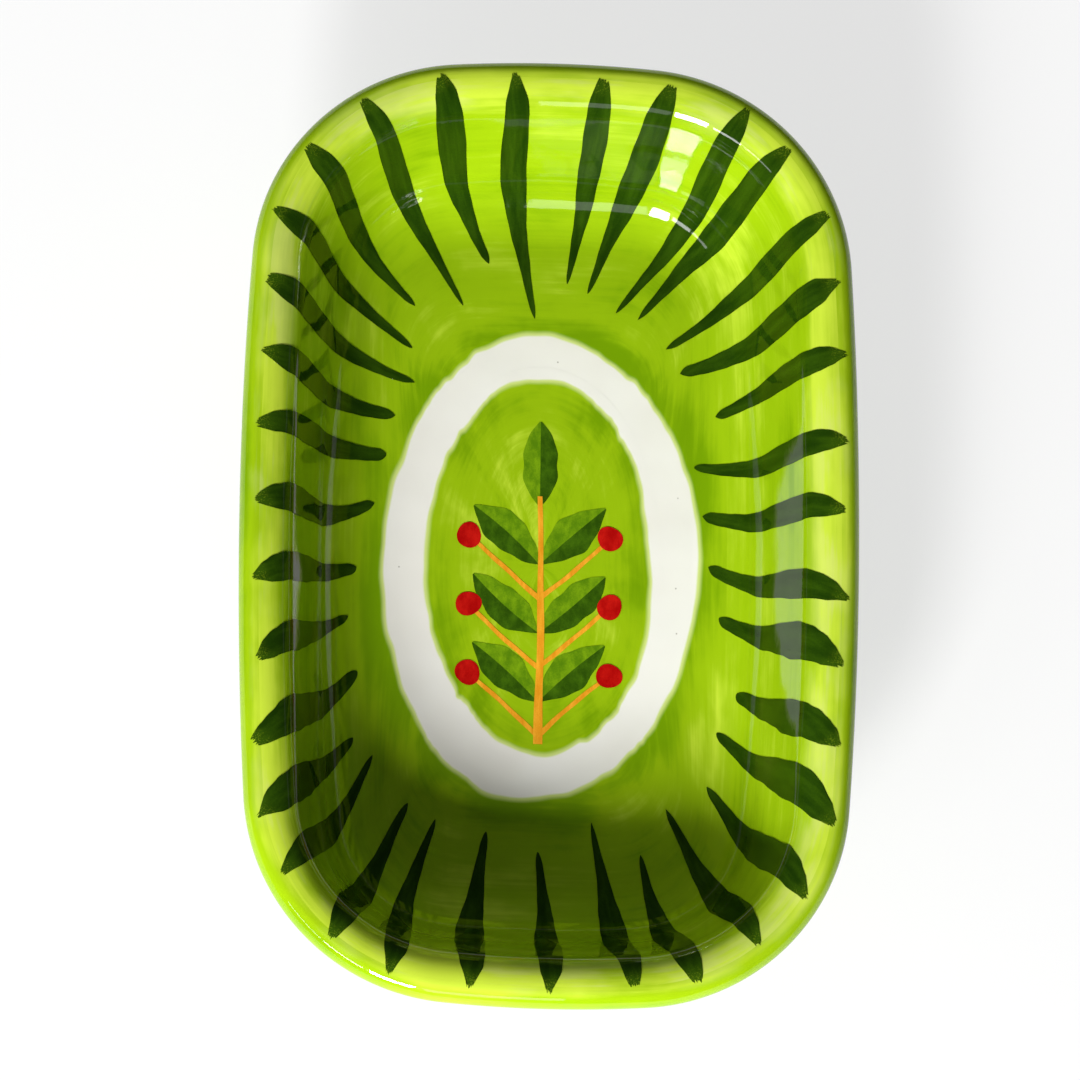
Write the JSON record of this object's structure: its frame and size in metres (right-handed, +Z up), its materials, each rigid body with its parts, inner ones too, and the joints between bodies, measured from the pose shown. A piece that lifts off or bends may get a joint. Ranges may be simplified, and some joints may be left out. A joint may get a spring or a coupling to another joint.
{
  "type": "olive dish",
  "caption": "Small oblong glazed earthenware dish with leaning walls, a rolled lip and a foot ring, brushed lime green with dark strokes round an oval sprig; holds olives at table.",
  "frame": {"origin": "on the table under the middle of the dish", "axes": "+Y along the dish's length, +X across it, +Z up out of the dish"},
  "size_m": [0.11, 0.172, 0.036],
  "materials": {
    "white_earthenware": "bare fired clay, matt",
    "lime_wash": "brushed underglaze wash, streaky, glossy under glaze",
    "dark_green_colour": "brushed underglaze strokes, dry at their ends, glossy under glaze",
    "leaf_green_colour": "brushed underglaze colour, glossy under glaze",
    "shade_green_colour": "brushed underglaze colour, glossy under glaze",
    "red_colour": "brushed underglaze colour, glossy under glaze",
    "ochre_colour": "brushed underglaze colour, glossy under glaze",
    "clear_glaze": "clear, high gloss"
  },
  "bodies": {
    "root": {"clay_body": "white_earthenware", "ground_wash": "lime_wash", "oval_wash": "lime_wash", "border_strokes": "dark_green_colour", "leaf_paint": "leaf_green_colour", "leaf_shade_paint": "shade_green_colour", "berry_paint": "red_colour", "stem_paint": "ochre_colour", "inside_glaze": "clear_glaze", "outside_wash": "lime_wash", "outside_glaze": "clear_glaze", "base_glaze": "clear_glaze"}
  },
  "joints": []
}
